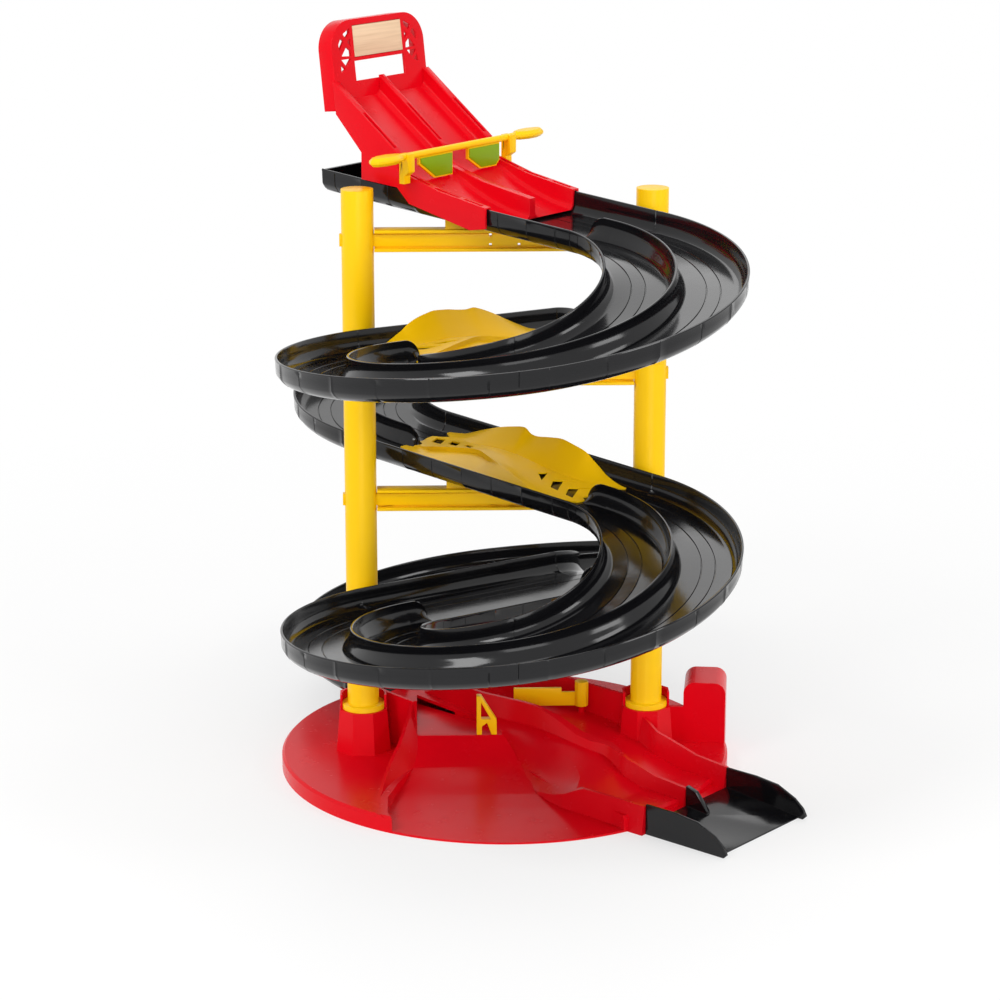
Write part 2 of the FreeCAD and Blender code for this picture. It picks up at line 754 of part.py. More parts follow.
def ramp_lane(floor, low, high):
    """Space over the floor line between two lateral places, coved where the floor meets the sides."""
    start, bend, middle, end = floor
    cove = size("ramp_cove")
    turns = [math.radians(turn) for turn in COVE_TURNS]
    near = [(low + cove * (1 - math.cos(turn)), cove * (1 - math.sin(turn))) for turn in turns]
    corner = near + [(low + high - across, height) for across, height in near[::-1]]
    rings = []
    for point in [start] + Part.Arc(bend, middle, end).toShape().discretize(RAMP_LANE_STEPS):
        ring = [Vec(point.x, across, point.z + height) for across, height in corner]
        top = 2 * size("ramp_upper_wall")
        rings.append(ring + [Vec(point.x, high, top), Vec(point.x, low, top)])
    return faceted_solid(rings)


def floor_face(start, bend, middle, end, limit):
    """Side view of the space between the ramp's floor line and a level above or below it."""
    far = [Vec(end.x, 0, limit), Vec(start.x, 0, limit)]
    return Part.Face(Part.Wire([Part.makeLine(start, bend), Part.Arc(bend, middle, end).toShape(),
                                Part.makeLine(end, far[0]), Part.makeLine(far[0], far[1]),
                                Part.makeLine(far[1], start)]))


# Slots in the tops of the ramp's side walls, as (from, to, depth) along the ramp
WALL_SLOTS = ((-96.0, -64.0, 3.0), (-53.0, -30.0, 3.0), (-24.0, -1.0, 2.5), (4.0, 22.0, 1.0))
DIVIDER_SLOT = (-98.0, -64.0, 2.0)


def wall_top(along):
    """Height of the ramp's side walls over the crossing."""
    unit = size("table_unit")
    upper, step = size("ramp_upper_end"), size("ramp_step")
    if along <= step:
        return between([(upper, size("ramp_upper_wall")), (step, size("ramp_step_wall"))], along)
    return between([(step, size("ramp_lower_wall")), (RAMP_LIP[0] * unit, RAMP_LIP[1] * unit),
                    (size("ramp_lower_end"), RAMP_FADE * unit)], along)


def slot_solid(slot, low, high):
    """Cutter for a slot that follows the wall's top."""
    first, last, depth = [value * size("table_unit") for value in slot]
    middle = 0.5 * (first + last)
    floor = [(along, wall_top(along) - depth) for along in (first, middle, last)]
    return side_prism(side_points(floor + [(last, 2 * size("ramp_upper_wall")),
                                           (first, 2 * size("ramp_upper_wall"))]), low, high)


def launch_ramp():
    unit, slope, back = size("table_unit"), size("straight_slope"), size("ramp_back")
    upper, step, lower = size("ramp_upper_end"), size("ramp_step"), size("ramp_lower_end")
    half, lane_half, divider = size("ramp_half_width"), size("ramp_lane_half"), size("ramp_divider_half")
    foot = [(along * unit, height * unit) for along, height in RAMP_FOOT]
    steep = (size("ramp_upper_wall") - size("ramp_step_wall")) / (step - upper)
    corners = [(upper - 5, size("ramp_upper_wall") + 5 * steep), (step, size("ramp_step_wall")),
               (step, size("ramp_lower_wall")), (RAMP_LIP[0] * unit, RAMP_LIP[1] * unit),
               (lower, RAMP_FADE * unit), (lower, foot[0][1] + 0.18 * (lower - foot[0][0]))] + foot
    corners += [(back, size("seat_gap") - slope * back), (back, size("ramp_back_wall")),
                (upper, size("sign_bottom") - 1.6 * unit), (upper - 5, size("sign_bottom") - 1.6 * unit)]
    body = side_prism(side_points(corners), -half, half)
    floor = ramp_floor_edges()
    lane = ramp_lane(floor, divider, lane_half)
    body = body.cut([lane, lane.mirror(Vec(), Vec(0, 1, 0))])
    down = Vec(0, 0, size("ramp_floor"))
    below = floor_face(*[point - down for point in floor], -size("ramp_upper_wall"))
    lean = math.tan(math.radians(size("sign_lean"))) * size("ramp_upper_wall")
    foot_high, far = size("sign_bottom"), upper - 2 * size("sign_thickness")
    behind = side_points([(upper, 0), (upper, foot_high), (upper - lean, foot_high + size("ramp_upper_wall")),
                          (far, foot_high + size("ramp_upper_wall")), (far, 0)])
    inner = size("track_half_width") - size("track_wall") - 1.5
    cutters = [side_prism(below, -inner, inner), side_prism(behind, -half, half),
               slot_solid(DIVIDER_SLOT, -divider / 2.5, divider / 2.5)]
    for slot in WALL_SLOTS:
        cutters.append(slot_solid(slot, size("slot_inner"), size("slot_outer")))
        cutters.append(slot_solid(slot, -size("slot_outer"), -size("slot_inner")))
    return body.cut(cutters).cut(track_envelope(back - 5, lower + 5))


def track_envelope(start, end):
    """The uppermost track's section grown by the seat gap, to be cut from what straddles it."""
    gap = size("seat_gap")
    half, wall, lane = size("track_half_width"), size("track_wall"), size("lane_depth")
    right = [(half + gap, 2 * size("track_depth")), (half + gap, -gap), (half - wall - gap, -gap),
             (half - wall - 0.7 - gap, 0.66 * lane - gap), (half - wall - 3.5 - gap, 0.92 * lane - gap),
             (half - wall - 8, lane - gap)]
    outline = right + [(-y, z) for y, z in right[::-1]]
    rings = [[Vec(along, -y, -size("straight_slope") * along - z) for y, z in outline]
             for along in (start, end)]
    return faceted_solid([ring[::-1] for ring in rings])


ramp = add_shape("launch_ramp", launch_ramp())
place_on_diagonal(ramp, "0", "top_crossing_height")


# Release bar: rod with finger paddles and two gate flaps, carried in two clips on the ramp

BAR_HEIGHT = "(top_crossing_height + bar_height)"
FLAP_LOW = "(flap_bottom - bar_height)"


def release_bar():
    body = new_body("release_bar")
    place_on_diagonal(body, "bar_place", BAR_HEIGHT)
    for side in ("-", ""):
        sketch = new_sketch(body, "XY_Plane")
        add_loop(sketch, oval("0", side + "paddle_place", "paddle_half_depth", "paddle_half_length"))
        sweep_sketch(body, "Pad", sketch, "2 * paddle_half_height")
    high = size("paddle_half_height")
    soften(body, "Chamfer", "paddle_half_height * 0.7",
           lambda edge: abs(abs(edge.CenterOfMass.z) - high) < 0.01)
    sketch = new_sketch(body, "XZ_Plane")
    add_circle(sketch, "0", "0", "bar_radius")
    sweep_sketch(body, "Pad", sketch, "2 * paddle_place")
    for corners in flap_outlines("0", "0"):
        pad_outline(body, "YZ_Plane", corners, "flap_thickness")


def flap_outlines(inset, top):
    """The left and the right flap seen along the track, their edges set in by an amount."""
    low = "%s + %s" % (FLAP_LOW, inset)
    left, right = "-flap_outer + " + inset, "flap_outer - " + inset
    return ([(left, top), (left, low + " + 12"), (left + " + 17", low), ("-flap_inner - " + inset, low),
             ("-flap_inner - " + inset, top)],
            [("flap_inner + 1 + " + inset, top), ("flap_inner + 1 + " + inset, low + " + 9"),
             ("flap_inner + 15 + " + inset, low), (right + " - 4", low), (right, low + " + 4"), (right, top)])


def gate_face(label, corners):
    body = new_body(label)
    place_on_diagonal(body, "bar_place + flap_thickness / 2 + face_thickness / 2", BAR_HEIGHT)
    pad_outline(body, "YZ_Plane", corners, "face_thickness")


def bar_clip(label, side):
    body = new_body(label)
    place_on_diagonal(body, "bar_place", BAR_HEIGHT)
    middle = "%s(clip_inner + clip_outer) / 2" % side
    foot = "clip_foot - bar_height"
    outline = [("-clip_half_depth", foot), ("clip_half_depth - 4.4", foot),
               ("clip_half_depth - 4.4", foot + " + 6"), ("clip_half_depth", foot + " + 9"),
               ("clip_half_depth", "2"), ("-clip_half_depth", "2")]
    pad_outline(body, "XZ_Plane", outline, "clip_outer - clip_inner", "-(%s)" % middle)
    hole = new_sketch(body, "XZ_Plane", "-(%s)" % middle)
    add_circle(hole, "0", "0", "bar_radius + running_gap")
    sweep_sketch(body, "Pocket", hole, "4 * clip_outer")


release_bar()
for label, corners in zip(("gate_face_left", "gate_face_right"),
                          flap_outlines("face_inset", "-bar_radius - 0.6")):
    gate_face(label, corners)
bar_clip("bar_clip_left", "-")
bar_clip("bar_clip_right", "")


# Exit chute: black double-walled slide hooked to the end of the base

def exit_chute():
    body = new_body("exit_chute")
    place_on_diagonal(body)
    start = "base_radius + exit_reach + seat_gap"
    end = "(base_radius + exit_reach + chute_length)"
    half = "exit_half_width"
    floor = [(start, "chute_floor_start"), (end + " - 7", "1.2"), (end + " - 7", "0"),
             (end + " - 20", "0"), (start, "chute_floor_start - chute_wall")]
    pad_outline(body, "XZ_Plane", floor, "2 * %s" % half)
    wall = [(start, "0"), (end + " - 3", "0"), (end, "3"), (end + " - 3", "8.5"), (end + " - 11", "15"),
            (end + " - 27", "22"), (end + " - 47", "chute_wall_top"), (start, "chute_wall_top")]
    for side in ("-", ""):
        pad_outline(body, "XZ_Plane", wall, "chute_wall", "%s(%s)" % (side, half))
    fin = [(start, "chute_floor_start - 1"), (start + " + chute_fin", "chute_floor_start - 3"),
           (start + " + chute_fin", "chute_floor_start"), (start + " + chute_fin * 0.45", "21"),
           (start, "chute_wall_top")]
    pad_outline(body, "XZ_Plane", fin, "4")


exit_chute()


# Diverter arm, which turns on a peg of the base, and the bracket that its free end meets

def diverter_arm():
    body = new_body("diverter_arm")
    for axis in ("x", "y"):
        body.setExpression("Placement.Base." + axis, bound("diverter_" + axis))
    knob = new_sketch(body, "XY_Plane", "diverter_bottom")
    add_loop(knob, oval("0", "0", "knob_radius", "knob_radius"))
    sweep_sketch(body, "Pad", knob, "knob_top - diverter_bottom", False)
    arm = [("-diverter_reach", "diverter_bottom"), ("0", "diverter_bottom"), ("0", "diverter_top - 3.5"),
           ("-16", "diverter_top - 3.5"), ("-16", "diverter_top"), ("-diverter_reach", "diverter_top")]
    pad_outline(body, "XZ_Plane", arm, "diverter_thickness")
    bore = new_sketch(body, "XY_Plane", "diverter_bottom")
    add_circle(bore, "0", "0", "peg_radius + running_gap")
    sweep_sketch(body, "Pocket", bore, "2 * (knob_top - diverter_bottom - 3)")


def finish_bracket():
    body = new_body("finish_bracket")
    for axis in ("x", "y"):
        body.setExpression("Placement.Base." + axis, bound("bracket_" + axis))
    high, foot = "bracket_top", "(platform_height + seat_gap)"
    outline = [("-6.5", foot), ("-2.5", foot), ("-2.5", high + " - 25"), ("1.5", high + " - 22"),
               ("5", foot), ("9", foot), ("9", high + " - 20"), ("-3.2", high), ("-6.5", high)]
    pad_outline(body, "XZ_Plane", outline, "7")
    window = [("-3.2", high + " - 19"), ("4.5", high + " - 19"), ("-3.2", high + " - 5")]
    cut_outline(body, "XZ_Plane", window, "20")


diverter_arm()
finish_bracket()


# Base: moulded disc with the last two lanes, a front slide, post sockets and a rounded block.
# Its tables give places and heights in steps of one table unit.

# Left side of the lane moulding: place along it, then four points as (across, height, or None for the
# lane floor). A wall at first, then a lip over the slide's start, a flank down to the slide, a wall again.
LEFT_SIDE = (
    (-95, (-55.5, 0), (-52.5, 54.6), (-50, 54.6), (-47, None)),
    (-75, (-55.5, 0), (-52.5, 53.2), (-50, 53.2), (-47, None)),
    (-50, (-55.5, 0), (-52.5, 51.5), (-50, 51.5), (-47, None)),
    (-44, (-10, 0), (-9.6, 26), (-9, None), (-6, None)),
    (-25, (-10, 0), (-9.6, 26), (-9, None), (-6, None)),
    (-6, (-14, 0), (-13, 27), (-11, 30.3), (-7, None)),
    (8, (-24, 0), (-21.5, 27), (-12, 29.4), (-3, None)),
    (20, (-25, 0), (-22.5, 19), (-12, 25.5), (-2, None)),
    (40, (-35, 0), (-32.5, 9), (-18, 20), (-3, None)),
    (60, (-45, 0), (-42, 5), (-27, 16), (-6, None)),
    (75, (-51, 0), (-48, 6.5), (-34, 15.5), (-10, None)),
    (90, (-54.5, 0), (-51.5, 9), (-41, 15.5), (-20, None)),
    (103, (-55.5, 0), (-52.8, 13), (-46.5, 17), (-33, 20.4)),
    (113, (-55.2, 0), (-52.6, 18), (-49, 19.2), (-42.5, 18.8)),
    (122, (-55, 0), (-52.5, 22), (-50, 22), (-46.5, None)),
    (150, (-55, 0), (-52.5, 22.5), (-50, 22.5), (-46.5, None)),
)
RAIL_BENDS = ((122.0, 34.0), (150.0, 26.5))
RAIL_MIDDLE = 104.0
CREST_PLACE = ((-104, 0.0), (-24, 4.0), (10, 14.0), (35, 19.0), (91, 19.0), (120, 2.0), (180, 0.0))
CREST_SHARE = ((-85, 0.03), (-45, 1.0), (26, 1.0), (45, 0.6), (65, 0.3), (91, 0.45), (120, 0.8), (180, 0.88))
CREST_HALF = ((-45, 1.4), (26, 1.4), (45, 4.0), (80, 5.0), (110, 1.6), (180, 1.4))
SHOULDER_SHARE = ((-60, 0.0), (-20, 1.0), (60, 0.95), (98, 0.2), (112, 0.0), (180, 0.0))
LANE_PLACES = (-85, -50, -44, -25, -6, 8, 20, 40, 60, 75, 90, 103, 113, 122, 150)
# Front slide: sections from the back to the rim as (y, wall's x and height, foot's x, floor, right end)
SLIDE = (
    (50, -69.3, 30.1, -69, 30, -14),
    (1, -69.6, 30.6, -69, 30, -6),
    (-2, -72, 51, -69.5, 30, -6),
    (-18, -74, 44, -69, 30, -4),
    (-23, -75.5, 41.5, -68.5, 29.6, -2),
    (-28, -77, 39, -68.5, 25.5, 2),
    (-36, -79, 35, -69, 19, 7),
    (-48, -83, 29, -72, 12.8, 12),
    (-62, -88.5, 22.5, -77, 8.6, 20),
    (-85, -93.5, 16.5, -85, 4.6, 32),
    (-110, -97, 12.7, -91.5, 2.8, 50),
    (-140, -97, 12.7, -91.5, 2.0, 76),
    (-180, -96, 12.7, -80, 1.4, 100),
)
SLIDE_DIP = 36.0
POCKET_PLAN = ((-69, 50.5), (-10, -2.6), (-10, -80), (-69, -80))


def to_world(along, across, height):
    angle = math.radians(size("crossing_angle"))
    return Vec(along * math.cos(angle) + across * math.sin(angle),
               -along * math.sin(angle) + across * math.cos(angle), height)


def exit_end():
    """Place along the lanes where the base ends and the chute begins."""
    return size("base_radius") + size("exit_reach")


def rail_height(along):
    """Height of the lane walls, which carry on from the lowest track and sink towards the exit."""
    unit = size("table_unit")
    start = crossing_height(4) + size("straight_slope") * tangent_length()
    bends = [(place * unit, height * unit) for place, height in RAIL_BENDS]
    return between([(-tangent_length(), start), (0.0, crossing_height(4)),
                    (RAIL_MIDDLE * unit, size("exit_wall_middle"))] + bends
                   + [(exit_end(), size("exit_wall_end"))], along)


def lane_floor(along):
    return rail_height(along) - size("lane_depth")


def left_side(along):
    """The four points of the left side at a place along the lanes."""
    unit = size("table_unit")
    points = []
    for point in range(1, 5):
        across = between([(row[0] * unit, row[point][0] * unit) for row in LEFT_SIDE], along)
        height = between([(row[0] * unit, lane_floor(row[0] * unit) if row[point][1] is None
                           else row[point][1] * unit) for row in LEFT_SIDE], along)
        points.append((across, height))
    return points


def lane_section(along, inset):
    """Outline of the lane moulding as (across, height), left first; inset gives the space under its skin."""
    unit = size("table_unit")
    place, floor, left = along / unit, lane_floor(along), left_side(along)
    edge, cove = size("exit_half_width"), 4 * unit
    shoulder = between(SHOULDER_SHARE, place)
    inner = edge + (size("shoulder_inner") - edge) * shoulder
    if inset:
        skin = size("base_shell")
        low = min(left[1][1], left[3][1]) - skin
        return [(left[0][0] + 2 * skin, -1), (left[1][0] + 2 * skin, low),
                (left[3][0] + skin, left[3][1] - skin), (inner - cove, floor - skin),
                (inner, floor - skin), (inner, -1)]
    rail = rail_height(along)
    outer = inner + size("hill_wall")
    right_top = rail + max(size("shoulder_height") - rail, 0) * shoulder
    crest, half = between(CREST_PLACE, place) * unit, between(CREST_HALF, place) * unit
    crest_top = floor + size("lane_depth") * between(CREST_SHARE, place)
    foot = half + 0.8 * cove
    return left + [(crest - foot, floor), (crest - half, crest_top), (crest + half, crest_top),
                   (crest + foot, floor), (inner - cove, floor), (inner, right_top), (outer, right_top),
                   (outer + 3, 0)]


def lane_moulding(inset):
    shift = size("base_shell") if inset else 0.0
    places = [place * size("table_unit") for place in LANE_PLACES]
    rings = [[to_world(along, across, height) for across, height in lane_section(along, inset)]
             for along in [-tangent_length() + shift] + places + [exit_end() - shift]]
    return faceted_solid([ring[::-1] for ring in rings])


def slide_solids(disc):
    """The slide inside the disc's outline, and the part of the deck that it takes the place of."""
    unit = size("table_unit")
    rings = []
    for row in SLIDE:
        y, wall_x, wall_high, foot_x, floor, right = [value * unit for value in row]
        outline = [(wall_x - 5 * unit, 0), (wall_x - size("hill_wall"), wall_high), (wall_x, wall_high),
                   (foot_x, floor), (right, floor), (right, 0)]
        rings.append([Vec(x, y, z) for x, z in outline])
    front = [row for row in SLIDE if row[0] <= -SLIDE_DIP]
    plan = [(row[3], row[0]) for row in front] + [(row[5], row[0]) for row in front[::-1]]
    region = ring_face([Vec(x * unit, y * unit, 0) for x, y in plan])
    region = region.extrude(Vec(0, 0, 2 * size("deck_height")))
    return faceted_solid(rings).common(disc), region


def slide_pocket(bottom):
    """Space over the level start of the slide, from a height up."""
    plan = [Vec(x * size("table_unit"), y * size("table_unit"), bottom) for x, y in POCKET_PLAN]
    return ring_face(plan).extrude(Vec(0, 0, 2 * size("platform_height")))


def socket(side):
    """Eight-sided boss for a post, with cheeks round the back of the post's collar."""
    radius = size("socket_radius")

    def octagon(wide, height):
        turns = [math.pi * (2 * i + 1) / 8 for i in range(8)]
        return [Vec(wide * math.cos(turn), wide * math.sin(turn), height) for turn in turns]
    boss = faceted_solid([octagon(1.2 * radius, 0), octagon(radius, size("socket_front"))])
    cheeks = faceted_solid([octagon(0.98 * radius, size("socket_front") - 0.25 * radius),
                            octagon(0.98 * radius, size("socket_back"))])
    front = Part.makeBox(4 * radius, 4 * radius, size("socket_back"),
                         Vec(-2 * radius, -4.2 * radius, size("socket_front")))
    return boss.fuse(cheeks.cut(front)).translated(Vec(side * size("post_spacing") / 2, 0, 0))


def rear_block(inset):
    """Upright block with a rounded top; inset gives the space under its skin."""
    skin = size("base_shell") if inset else 0.0
    foot = 1.0 if inset else 0.0
    block = Part.makeBox(size("block_length") - 2 * skin, size("block_width") - 2 * skin,
                         size("block_height") + foot - skin, Vec(skin, skin, -foot))
    top = [edge for edge in block.Edges
           if runs_along(edge, Vec(0, 1, 0)) and edge.CenterOfMass.z > size("block_height") / 2]
    block = block.makeFillet(size("block_round") - skin, top)
    block.rotate(Vec(), Vec(0, 0, 1), size("block_turn"))
    return block.translated(Vec(size("block_x"), size("block_y"), 0))


def deck_room(region):
    """Space under the deck, many-sided, beside the slide."""
    radius, skin = size("base_radius") - 1.2 * size("base_shell"), size("base_shell")
    corners = [Vec(radius * math.cos(math.pi * i / 18), radius * math.sin(math.pi * i / 18), -1)
               for i in range(36)]
    room = ring_face(corners).extrude(Vec(0, 0, size("deck_height") + 1 - skin))
    return room.cut([region.translated(Vec(shift, 0, -3)) for shift in (-2 * skin, 0, 2 * skin)])


def diverter_peg():
    """Peg that stands on the lane floor."""
    angle = math.radians(size("crossing_angle"))
    x, y = size("diverter_x"), size("diverter_y")
    foot = lane_floor(x * math.cos(angle) - y * math.sin(angle)) - size("base_shell") / 2
    return Part.makeCylinder(size("peg_radius"), size("knob_top") - 4 - foot, Vec(x, y, foot))


def base_shape():
    radius, deck = size("base_radius"), size("deck_height")
    disc = Part.makeCylinder(radius, deck)
    rim = [edge for edge in disc.Edges if edge.CenterOfMass.z > deck / 2 and len(edge.Vertexes) == 1]
    disc = disc.makeChamfer(size("rim_round"), rim)
    slide, region = slide_solids(Part.makeCylinder(radius, 2 * size("platform_height")))
    post = size("post_spacing") / 2
    link = Part.makeBox(size("block_x") - post - 6, size("link_thickness"), size("link_height"),
                        Vec(post + 14, size("block_y"), 0))
    lanes = lane_moulding(False).cut(slide_pocket(size("platform_height")))
    body = disc.cut(region).fuse([lanes, slide, socket(-1), socket(1), rear_block(False), link])
    under_lanes = lane_moulding(True).cut(slide_pocket(size("platform_height") - size("base_shell")))
    hollow = deck_room(region).fuse([under_lanes, rear_block(True)])
    foot = Part.makeCylinder(size("foot_radius"), size("platform_height"))
    body = body.cut(hollow.cut([socket(-1), socket(1), foot]))
    for side in (-1, 1):
        place = Vec(side * post, 0, size("post_foot") - size("seat_gap"))
        room = Part.makeCylinder(size("collar_radius") + size("seat_gap"), size("socket_back"), place)
        body = body.cut(room)
    return body.fuse(diverter_peg()).removeSplitter()


add_shape("base", base_shape())


# Check and write every piece

doc.recompute()
for item in doc.Objects:
    if "Invalid" in item.State or "Error" in item.State:
        raise RuntimeError("failed: %s %s" % (item.Label, item.State))
for item in parts:
    if item.Shape.isNull() or not item.Shape.isValid():
        raise RuntimeError("bad shape: " + item.Label)

os.makedirs("parts", exist_ok=True)
for item in parts:
    item.Shape.exportStep("parts/%s.step" % item.Label)
    print("%-26s %d solids %10.0f mm3" % (item.Label, len(item.Shape.Solids), item.Shape.Volume))
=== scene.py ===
import json
import math

import bmesh
import bpy
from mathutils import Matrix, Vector


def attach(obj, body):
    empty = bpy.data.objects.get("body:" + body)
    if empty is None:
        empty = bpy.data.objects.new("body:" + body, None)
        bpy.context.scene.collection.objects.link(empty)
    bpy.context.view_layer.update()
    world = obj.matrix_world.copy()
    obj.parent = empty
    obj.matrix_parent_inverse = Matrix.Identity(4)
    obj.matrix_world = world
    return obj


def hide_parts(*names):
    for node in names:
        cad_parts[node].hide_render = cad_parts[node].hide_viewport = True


# The track, the lane changers and the roundings are in millimetres, and become metres where a mesh is
# made. The studio and the materials are in metres. The path of the track repeats the rules of the solids.

MM = 0.001
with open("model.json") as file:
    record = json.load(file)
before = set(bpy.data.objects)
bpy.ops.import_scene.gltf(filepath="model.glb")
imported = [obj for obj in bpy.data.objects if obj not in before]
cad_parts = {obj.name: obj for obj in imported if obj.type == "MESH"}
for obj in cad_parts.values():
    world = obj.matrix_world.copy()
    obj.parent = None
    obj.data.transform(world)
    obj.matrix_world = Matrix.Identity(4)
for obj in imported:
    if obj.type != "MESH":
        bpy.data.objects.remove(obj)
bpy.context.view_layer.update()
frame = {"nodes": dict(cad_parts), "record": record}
nodes = frame["nodes"]

CROSSING_ANGLE = math.radians(42.0)
LOBE_RADIUS = 116.0
TOP_CROSSING = 453.0
STRAIGHT_SLOPE = 0.07
LOBE_DROPS = {"front": (51.697, 37.711), "rear": (61.506, 22.391)}
MIDDLE_SLOPE = {"front": 0.16, "rear": 0.15}
START_TAIL = 140.5
TANGENT = LOBE_RADIUS * math.tan(CROSSING_ANGLE)
LOBE_CENTRE = LOBE_RADIUS / math.cos(CROSSING_ANGLE)
LOBE_SWEEP = math.pi - CROSSING_ANGLE
LOBE_LENGTH = LOBE_RADIUS * LOBE_SWEEP
TRACK_HALF = 52.0
TRACK_WALL = 2.0
LANE_DEPTH = 16.5
# Half width of the visible track, just inside the solids
SHELL_HALF = TRACK_HALF - 0.3


# Materials

# Noise values between which handling marks change the roughness, and by how much they change it
SCUFF_NOISE = (0.35, 0.75)
SCUFF_CHANGE = (-0.02, 0.03)
GRAIN_STRETCH = 30.0
GRAIN_COLORS = ((0.3, (0.68, 0.47, 0.29)), (0.62, (0.80, 0.58, 0.38)))
# Carried-over nodes: distance in metres within which points are welded, steps of a rounding, the least
# angle of an edge that is rounded, and the weight of large faces
WELD_REACH = 0.00002
ROUND_SEGMENTS = 3
ROUND_ANGLE = 28
FLAT_WEIGHT = 80


def new_material(name, color, roughness, specular):
    material = bpy.data.materials.new(name)
    material.use_nodes = True
    shader = material.node_tree.nodes["Principled BSDF"]
    shader.inputs["Base Color"].default_value = (*color, 1)
    shader.inputs["Roughness"].default_value = roughness
    shader.inputs["Specular IOR Level"].default_value = specular
    return material


def add_node(owner, kind, **values):
    """New node of a material or the world. Each value goes to the input of its name, or to a property."""
    node = owner.node_tree.nodes.new(kind)
    for name, value in values.items():
        if name in node.inputs:
            node.inputs[name].default_value = value
        else:
            setattr(node, name, value)
    return node


def link(owner, source, output, target, socket):
    owner.node_tree.links.new(source.outputs[output], target.inputs[socket])


def add_map_range(owner, before, after):
    """Node that carries one (low, high) range over to another."""
    return add_node(owner, "ShaderNodeMapRange", **{"From Min": before[0], "From Max": before[1],
                                                    "To Min": after[0], "To Max": after[1]})


def moulded_plastic(name, color, shade, roughness, specular):
    """Moulded plastic: faint colour drift, fine handling marks in the gloss and a barely uneven skin."""
    material = new_material(name, color, roughness, specular)
    shader = material.node_tree.nodes["Principled BSDF"]
    place = add_node(material, "ShaderNodeTexCoord")
    drift = add_node(material, "ShaderNodeTexNoise", Scale=9.0, Detail=3.0)
    link(material, place, "Object", drift, "Vector")
    mix = add_node(material, "ShaderNodeMix", data_type="RGBA")
    mix.inputs["A"].default_value = (*color, 1)
    mix.inputs["B"].default_value = (*shade, 1)
    link(material, drift, "Fac", mix, "Factor")
    link(material, mix, "Result", shader, "Base Color")
    scuffs = add_node(material, "ShaderNodeTexNoise", Scale=55.0, Detail=6.0, Roughness=0.62)
    link(material, place, "Object", scuffs, "Vector")
    spread = add_map_range(material, SCUFF_NOISE, [roughness + change for change in SCUFF_CHANGE])
    link(material, scuffs, "Fac", spread, "Value")
    link(material, spread, "Result", shader, "Roughness")
    skin = add_node(material, "ShaderNodeTexNoise", Scale=240.0, Detail=2.0)
    link(material, place, "Object", skin, "Vector")
    bump = add_node(material, "ShaderNodeBump", Strength=0.05, Distance=0.0004)
    link(material, skin, "Fac", bump, "Height")
    link(material, bump, "Normal", shader, "Normal")
    return material


def light_wood():
    """Sanded pale wood with fine straight grain along the board and a thin lacquer."""
    material = new_material("light_wood", (0.72, 0.50, 0.30), 0.42, 0.3)
    shader = material.node_tree.nodes["Principled BSDF"]
    place = add_node(material, "ShaderNodeTexCoord")
    stretch = add_node(material, "ShaderNodeMapping", vector_type="TEXTURE",
                       Rotation=(0, 0, -CROSSING_ANGLE), Scale=(1.0, GRAIN_STRETCH, 1.0))
    link(material, place, "Object", stretch, "Vector")
    grain = add_node(material, "ShaderNodeTexNoise", Scale=480.0, Detail=5.0, Roughness=0.6)
    link(material, stretch, "Vector", grain, "Vector")
    ramp = add_node(material, "ShaderNodeValToRGB")
    for element, (position, color) in zip(ramp.color_ramp.elements, GRAIN_COLORS):
        element.position = position
        element.color = (*color, 1)
    link(material, grain, "Fac", ramp, "Fac")
    link(material, ramp, "Color", shader, "Base Color")
    bump = add_node(material, "ShaderNodeBump", Strength=0.2, Distance=0.0003)
    link(material, grain, "Fac", bump, "Height")
    link(material, bump, "Normal", shader, "Normal")
    return material


# Colour, the shade it drifts to, roughness and specular level
PLASTICS = {
    "black_plastic": ((0.004, 0.004, 0.005), (0.006, 0.006, 0.007), 0.13, 0.34),
    "red_plastic": ((0.74, 0.0015, 0.009), (0.70, 0.001, 0.008), 0.26, 0.12),
    "yellow_plastic": ((0.98, 0.60, 0.004), (0.95, 0.56, 0.003), 0.32, 0.16),
    "green_plastic": ((0.23, 0.40, 0.003), (0.20, 0.36, 0.002), 0.34, 0.2),
}
MATERIALS = {name: moulded_plastic(name, *look) for name, look in PLASTICS.items()}
MATERIALS["light_wood"] = light_wood()


def dress(item, slot):
    """Gives an object its material on every face."""
    item.data.materials.clear()
    item.data.materials.append(MATERIALS[slot])


def soften_node(item, width, flatten):
    """Small moulded roundings and smooth shading on a carried-over node; flatten keeps large faces even."""
    for polygon in item.data.polygons:
        polygon.use_smooth = True
    weld = item.modifiers.new("weld", "WELD")
    weld.merge_threshold = WELD_REACH
    bevel = item.modifiers.new("round", "BEVEL")
    bevel.width = width * MM
    bevel.segments = ROUND_SEGMENTS
    bevel.limit_method = "ANGLE"
    bevel.angle_limit = math.radians(ROUND_ANGLE)
    bevel.harden_normals = not flatten
    if flatten:
        flat = item.modifiers.new("flat", "WEIGHTED_NORMAL")
        flat.mode = "FACE_AREA_WITH_ANGLE"
        flat.weight = FLAT_WEIGHT


# Meshes

def link_object(name, data):
    item = bpy.data.objects.new(name, data)
    bpy.context.scene.collection.objects.link(item)
    return item


def closed_mesh(name, verts, faces):
    """Object with a closed mesh whose faces are turned outwards."""
    mesh = bpy.data.meshes.new(name)
    mesh.from_pydata(verts, [], faces)
    work = bmesh.new()
    work.from_mesh(mesh)
    bmesh.ops.recalc_face_normals(work, faces=work.faces)
    work.to_mesh(mesh)
    work.free()
    return link_object(name, mesh)


